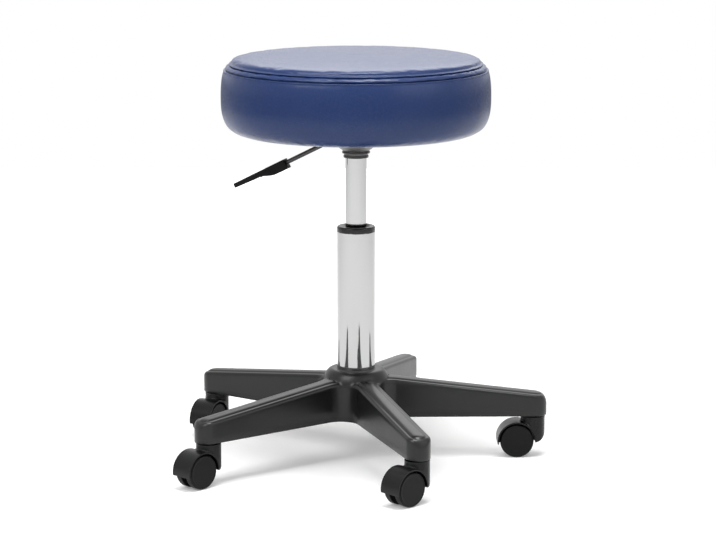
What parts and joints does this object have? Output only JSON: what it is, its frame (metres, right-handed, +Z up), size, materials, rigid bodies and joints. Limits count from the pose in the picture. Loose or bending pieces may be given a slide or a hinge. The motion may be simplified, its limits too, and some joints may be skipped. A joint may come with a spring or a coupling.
{
  "type": "rolling stool",
  "caption": "Rolling stool with a round padded vinyl seat, a gas lift with side lever, a chrome standing tube and a star base on twin-wheel casters.",
  "frame": {"origin": "on the floor under the axis of the column", "axes": "+Z up along the column; the height lever points to -X and slightly to +Y, and one arm of the base to +X"},
  "size_m": [0.4901, 0.5137, 0.5393],
  "materials": {
    "base_plastic": "satin",
    "caster_plastic": "satin",
    "wheel_tread": "satin",
    "chrome": "polished",
    "steel": "satin",
    "black_steel": "gloss",
    "brass": "satin",
    "cage_plastic": "matte",
    "collar_plastic": "gloss",
    "bush_plastic": "matte",
    "bump_rubber": "matte",
    "lever_plastic": "satin",
    "plywood": "matte",
    "foam": "matte",
    "vinyl": "satin"
  },
  "bodies": {
    "base": {"base_spider": "base_plastic", "caster_sockets": "steel", "caster_stems": "steel", "stem_rings": "steel", "standing_tube": "chrome", "tube_floor": "steel", "column_collar": "collar_plastic", "guide_bush": "bush_plastic", "lower_race": "steel", "ball_cage": "cage_plastic", "bearing_balls": "steel"},
    "rod": {"upper_race": "steel", "bump_stop": "bump_rubber", "piston_rod": "steel", "rod_clip": "steel", "piston": "brass", "piston_seal": "bump_rubber"},
    "seat": {"pressure_tube": "chrome", "rod_guide": "bush_plastic", "valve_body": "brass", "taper_socket": "black_steel", "seat_plate": "black_steel", "plate_bolts": "steel", "tee_nuts": "steel", "seat_board": "plywood", "seat_foam": "foam", "seat_cover_top": "vinyl", "seat_cover_band": "vinyl", "cover_staples": "steel", "lever_pin": "steel", "lever_clips": "steel"},
    "lever": {"lever_rod": "black_steel", "lever_handle": "lever_plastic"},
    "release": {"release_pin": "steel"},
    "caster_a": {"caster_a_hood": "caster_plastic", "caster_a_axle": "steel"},
    "wheel_a_l": {"caster_a_wheel_l": "wheel_tread"},
    "wheel_a_r": {"caster_a_wheel_r": "wheel_tread"},
    "caster_b": {"caster_b_hood": "caster_plastic", "caster_b_axle": "steel"},
    "wheel_b_l": {"caster_b_wheel_l": "wheel_tread"},
    "wheel_b_r": {"caster_b_wheel_r": "wheel_tread"},
    "caster_c": {"caster_c_hood": "caster_plastic", "caster_c_axle": "steel"},
    "wheel_c_l": {"caster_c_wheel_l": "wheel_tread"},
    "wheel_c_r": {"caster_c_wheel_r": "wheel_tread"},
    "caster_d": {"caster_d_hood": "caster_plastic", "caster_d_axle": "steel"},
    "wheel_d_l": {"caster_d_wheel_l": "wheel_tread"},
    "wheel_d_r": {"caster_d_wheel_r": "wheel_tread"},
    "caster_e": {"caster_e_hood": "caster_plastic", "caster_e_axle": "steel"},
    "wheel_e_l": {"caster_e_wheel_l": "wheel_tread"},
    "wheel_e_r": {"caster_e_wheel_r": "wheel_tread"}
  },
  "joints": [
    {"name": "seat_swivel", "type": "hinge", "parent": "base", "child": "rod", "pos_m": [0, 0, 0.07], "axis": [0, 0, 1], "continuous": true},
    {"name": "seat_lift", "type": "slide", "parent": "rod", "child": "seat", "axis": [0, 0, 1], "range_m": [-0.08, 0.045]},
    {"name": "lever_tilt", "type": "hinge", "parent": "seat", "child": "lever", "pos_m": [-0.02869, 0.00877, 0.42821], "axis": [0.2924, 0.9563, 0], "range_deg": [0, 6], "stiffness_Nm_per_rad": 2, "springref_deg": -2.86},
    {"name": "release_press", "type": "slide", "parent": "seat", "child": "release", "axis": [0, 0, 1], "range_m": [-0.0035, 0]},
    {"name": "caster_a_swivel", "type": "hinge", "parent": "base", "child": "caster_a", "pos_m": [-0.19415, 0.13645, 0.06], "axis": [0, 0, 1], "continuous": true},
    {"name": "caster_a_roll_l", "type": "hinge", "parent": "caster_a", "child": "wheel_a_l", "pos_m": [-0.20421, 0.11711, 0.0225], "axis": [-0.887, 0.4617, 0], "continuous": true},
    {"name": "caster_a_roll_r", "type": "hinge", "parent": "caster_a", "child": "wheel_a_r", "pos_m": [-0.20421, 0.11711, 0.0225], "axis": [-0.887, 0.4617, 0], "continuous": true},
    {"name": "caster_b_swivel", "type": "hinge", "parent": "base", "child": "caster_b", "pos_m": [-0.18976, -0.14248, 0.06], "axis": [0, 0, 1], "continuous": true},
    {"name": "caster_b_roll_l", "type": "hinge", "parent": "caster_b", "child": "wheel_b_l", "pos_m": [-0.20496, -0.15811, 0.0225], "axis": [-0.7169, 0.6972, 0], "continuous": true},
    {"name": "caster_b_roll_r", "type": "hinge", "parent": "caster_b", "child": "wheel_b_r", "pos_m": [-0.20496, -0.15811, 0.0225], "axis": [-0.7169, 0.6972, 0], "continuous": true},
    {"name": "caster_c_swivel", "type": "hinge", "parent": "base", "child": "caster_c", "pos_m": [0.07687, -0.22451, 0.06], "axis": [0, 0, 1], "continuous": true},
    {"name": "caster_c_roll_l", "type": "hinge", "parent": "caster_c", "child": "wheel_c_l", "pos_m": [0.06092, -0.23937, 0.0225], "axis": [-0.682, 0.7314, 0], "continuous": true},
    {"name": "caster_c_roll_r", "type": "hinge", "parent": "caster_c", "child": "wheel_c_r", "pos_m": [0.06092, -0.23937, 0.0225], "axis": [-0.682, 0.7314, 0], "continuous": true},
    {"name": "caster_d_swivel", "type": "hinge", "parent": "base", "child": "caster_d", "pos_m": [0.23727, 0.00373, 0.06], "axis": [0, 0, 1], "continuous": true},
    {"name": "caster_d_roll_l", "type": "hinge", "parent": "caster_d", "child": "wheel_d_l", "pos_m": [0.21547, 0.00338, 0.0225], "axis": [-0.0157, 0.9999, 0], "continuous": true},
    {"name": "caster_d_roll_r", "type": "hinge", "parent": "caster_d", "child": "wheel_d_r", "pos_m": [0.21547, 0.00338, 0.0225], "axis": [-0.0157, 0.9999, 0], "continuous": true},
    {"name": "caster_e_swivel", "type": "hinge", "parent": "base", "child": "caster_e", "pos_m": [0.06978, 0.22681, 0.06], "axis": [0, 0, 1], "continuous": true},
    {"name": "caster_e_roll_l", "type": "hinge", "parent": "caster_e", "child": "wheel_e_l", "pos_m": [0.0509, 0.21591, 0.0225], "axis": [-0.5, 0.866, 0], "continuous": true},
    {"name": "caster_e_roll_r", "type": "hinge", "parent": "caster_e", "child": "wheel_e_r", "pos_m": [0.0509, 0.21591, 0.0225], "axis": [-0.5, 0.866, 0], "continuous": true}
  ],
  "couplings": [
    {"joint": "release_press", "follows": "lever_tilt", "m_per_rad": -0.03}
  ]
}
